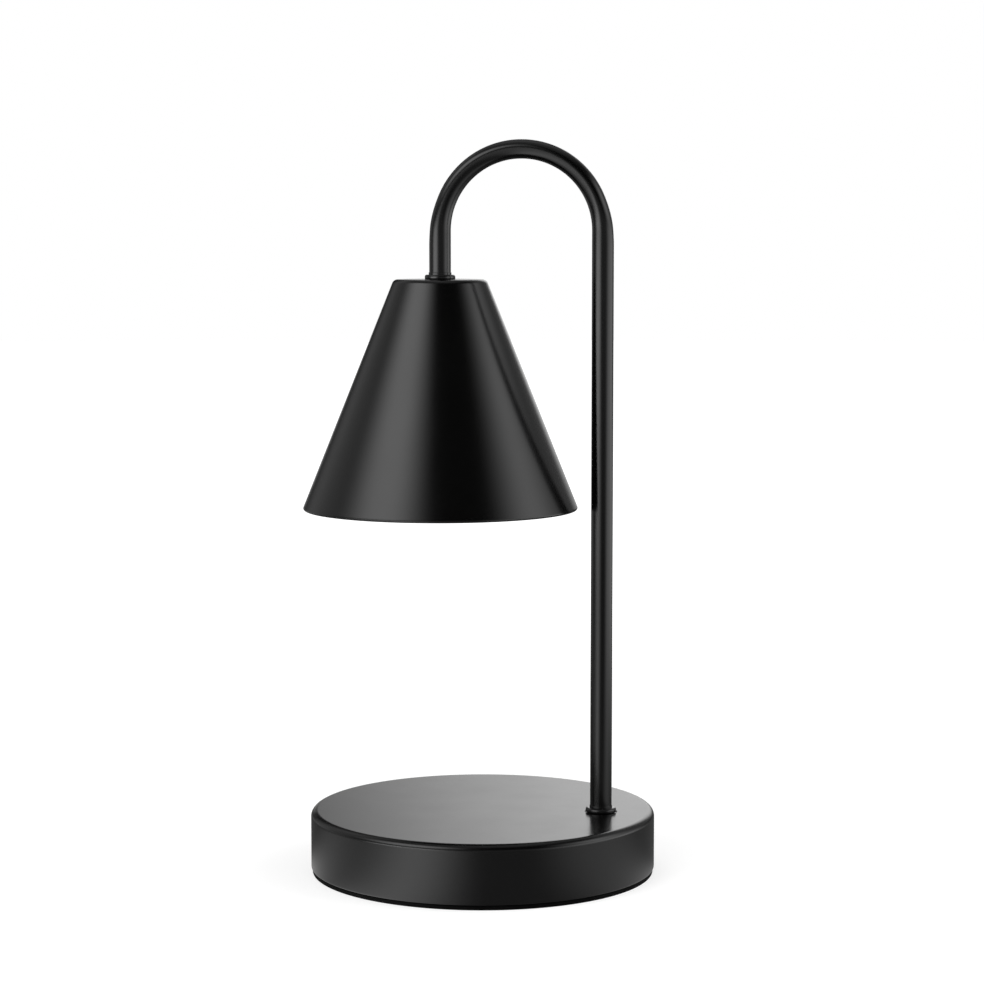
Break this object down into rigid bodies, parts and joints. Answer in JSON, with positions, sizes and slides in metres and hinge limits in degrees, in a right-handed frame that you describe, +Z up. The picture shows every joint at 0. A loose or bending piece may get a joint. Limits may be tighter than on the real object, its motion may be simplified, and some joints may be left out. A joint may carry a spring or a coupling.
{
  "type": "candle warmer lamp",
  "caption": "Free-standing warmer lamp: round weighted base, crook stem of steel tube and a conical shade over a twist-lock reflector bulb.",
  "frame": {"origin": "centre of the base's underside, on the foam pad's lower face", "axes": "+Z up, +X towards the foot of the stem, +Y towards the rear, where the cord inlet is"},
  "size_m": [0.155, 0.1541, 0.3219],
  "materials": {
    "satin_black": "satin powder coat",
    "gloss_black": "gloss lacquer",
    "foam": "closed-cell foam, matt",
    "black_rubber": "moulded rubber",
    "cast_iron": "as cast",
    "zinc_steel": "zinc plated",
    "brass": "plain brass",
    "white_ceramic": "unglazed steatite",
    "natural_nylon": "natural moulded nylon",
    "clear_glass": "clear",
    "silvered_glass": "aluminised glass",
    "brown_wire": "wire insulation",
    "blue_wire": "wire insulation"
  },
  "bodies": {
    "lamp": {"base_shell": "satin_black", "base_weight": "cast_iron", "base_cover": "zinc_steel", "foot_pad": "foam", "cord_grommet": "black_rubber", "cover_screw_1": "zinc_steel", "cover_screw_2": "zinc_steel", "cover_screw_3": "zinc_steel", "terminal_block": "natural_nylon", "terminal_barrel_live": "brass", "terminal_barrel_neutral": "brass", "terminal_screw_1": "zinc_steel", "terminal_screw_2": "zinc_steel", "terminal_screw_3": "zinc_steel", "terminal_screw_4": "zinc_steel", "terminal_fixing_screw": "zinc_steel", "stem_tube": "satin_black", "base_collar": "gloss_black", "base_nipple": "zinc_steel", "stem_washer": "zinc_steel", "stem_nut": "zinc_steel", "shade_collar": "gloss_black", "shade_nipple": "zinc_steel", "shade": "satin_black", "shade_washer": "zinc_steel", "shade_nut": "zinc_steel", "holder_bracket": "zinc_steel", "lampholder_body": "white_ceramic", "lampholder_cap": "white_ceramic", "contact_live": "brass", "contact_neutral": "brass", "holder_screw_1": "zinc_steel", "holder_screw_2": "zinc_steel", "lead_live": "brown_wire", "lead_neutral": "blue_wire"},
    "bulb": {"bulb_base": "white_ceramic", "bulb_pin_1": "zinc_steel", "bulb_pin_2": "zinc_steel", "bulb_reflector": "silvered_glass", "bulb_lens": "clear_glass", "bulb_capsule": "clear_glass"}
  },
  "joints": [
    {"name": "bulb_twist", "type": "hinge", "parent": "lamp", "child": "bulb", "pos_m": [-0.0188, 0, 0.2277], "axis": [0, 0, -1], "range_deg": [0, 30]}
  ]
}
